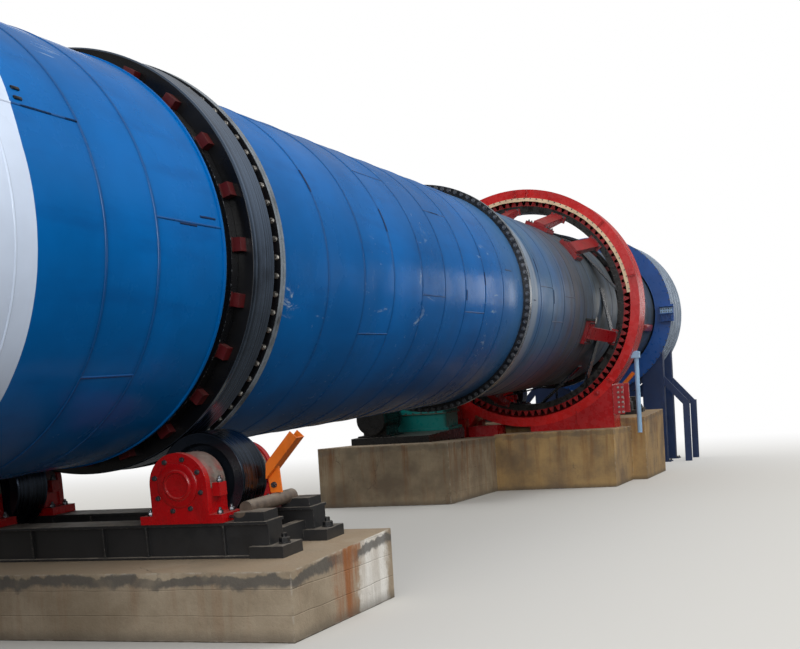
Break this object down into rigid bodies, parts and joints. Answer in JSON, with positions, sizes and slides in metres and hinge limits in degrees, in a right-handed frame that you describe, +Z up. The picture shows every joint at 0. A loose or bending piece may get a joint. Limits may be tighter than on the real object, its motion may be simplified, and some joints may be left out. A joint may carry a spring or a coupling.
{
  "type": "rotary drum dryer",
  "caption": "Inclined drum dryer on riding rings and rollers, turned by a guarded girth gear, with concrete piers and end hoods.",
  "frame": {"origin": "on the ground, straight below the middle of the first riding ring", "axes": "+X along the drum towards its higher, feed end; +Z up; -Y is the side the reference view is taken from"},
  "size_m": [32.5076, 5.586, 6.4772],
  "materials": {
    "blue_shell": "gloss paint, scuffed",
    "dusty_shell": "dusty gloss paint",
    "black_steel": "semi gloss paint",
    "rolling_steel": "machined, oiled",
    "red_paint": "gloss paint",
    "dark_red_paint": "gloss paint, dusty",
    "cast_teeth": "greased",
    "orange_paint": "gloss paint",
    "teal_paint": "gloss paint",
    "beige_strip": "matt",
    "navy_hood": "semi gloss paint",
    "hood_grey": "semi gloss paint",
    "concrete": "board marked, stained"
  },
  "bodies": {
    "root": {"pier_1": "concrete", "pier_2": "concrete", "drive_pier": "concrete", "base_frame_1": "black_steel", "base_frame_2": "black_steel", "bearing_housings_1": "dark_red_paint", "bearing_housings_2": "dark_red_paint", "block_holders_1": "orange_paint", "block_holders_2": "orange_paint", "gear_guard": "red_paint", "guard_stand": "red_paint", "guard_seal_strip": "beige_strip", "guard_drain_pipe": "hood_grey", "grease_tray": "red_paint", "pinion_cover": "red_paint", "pinion_bearings": "dark_red_paint", "drive_base": "black_steel", "gearbox": "teal_paint", "motor": "black_steel", "motor_coupling": "black_steel", "feed_hood_face": "navy_hood", "feed_hood_wall": "hood_grey", "feed_hood_back": "hood_grey", "feed_hood_frame": "navy_hood", "feed_hood_hatch": "blue_shell", "discharge_hood_face": "navy_hood", "discharge_hood_wall": "hood_grey", "discharge_hood_back": "hood_grey", "discharge_hood_frame": "navy_hood"},
    "drum": {"shell_front": "blue_shell", "shell_middle": "blue_shell", "shell_rear": "dusty_shell", "shell_feed_end": "dusty_shell", "ring_neck_1": "black_steel", "ring_neck_2": "black_steel", "riding_ring_1": "rolling_steel", "riding_ring_2": "rolling_steel", "retaining_blocks_1": "dark_red_paint", "retaining_blocks_2": "dark_red_paint", "flange_joint_1": "black_steel", "flange_joint_2": "black_steel", "girth_gear": "cast_teeth", "gear_carriers": "red_paint", "spring_plates": "dusty_shell"},
    "roller_1_near": {"support_roller_1_near": "rolling_steel"},
    "roller_1_far": {"support_roller_1_far": "rolling_steel"},
    "roller_2_near": {"support_roller_2_near": "rolling_steel"},
    "roller_2_far": {"support_roller_2_far": "rolling_steel"},
    "pinion": {"pinion": "cast_teeth", "pinion_coupling": "black_steel"}
  },
  "joints": [
    {"name": "drum_spin", "type": "hinge", "parent": "root", "child": "drum", "pos_m": [0, 0, 3.07], "axis": [0.9988, 0, 0.0499], "continuous": true},
    {"name": "roller_1_near_spin", "type": "hinge", "parent": "root", "child": "roller_1_near", "pos_m": [0.09418, -1.13324, 1.18633], "axis": [0.9988, 0, 0.0499], "continuous": true},
    {"name": "roller_1_far_spin", "type": "hinge", "parent": "root", "child": "roller_1_far", "pos_m": [0.09418, 1.13324, 1.18633], "axis": [0.9988, 0, 0.0499], "continuous": true},
    {"name": "roller_2_near_spin", "type": "hinge", "parent": "root", "child": "roller_2_near", "pos_m": [17.27272, -1.13324, 2.04526], "axis": [0.9988, 0, 0.0499], "continuous": true},
    {"name": "roller_2_far_spin", "type": "hinge", "parent": "root", "child": "roller_2_far", "pos_m": [17.27272, 1.13324, 2.04526], "axis": [0.9988, 0, 0.0499], "continuous": true},
    {"name": "pinion_spin", "type": "hinge", "parent": "root", "child": "pinion", "pos_m": [15.08377, 1.72203, 1.76939], "axis": [0.9988, 0, 0.0499], "continuous": true}
  ],
  "couplings": [
    {"joint": "roller_1_near_spin", "follows": "drum_spin", "ratio": -4.5},
    {"joint": "roller_1_far_spin", "follows": "drum_spin", "ratio": -4.5},
    {"joint": "roller_2_near_spin", "follows": "drum_spin", "ratio": -4.5},
    {"joint": "roller_2_far_spin", "follows": "drum_spin", "ratio": -4.5},
    {"joint": "pinion_spin", "follows": "drum_spin", "ratio": -5.3333}
  ]
}
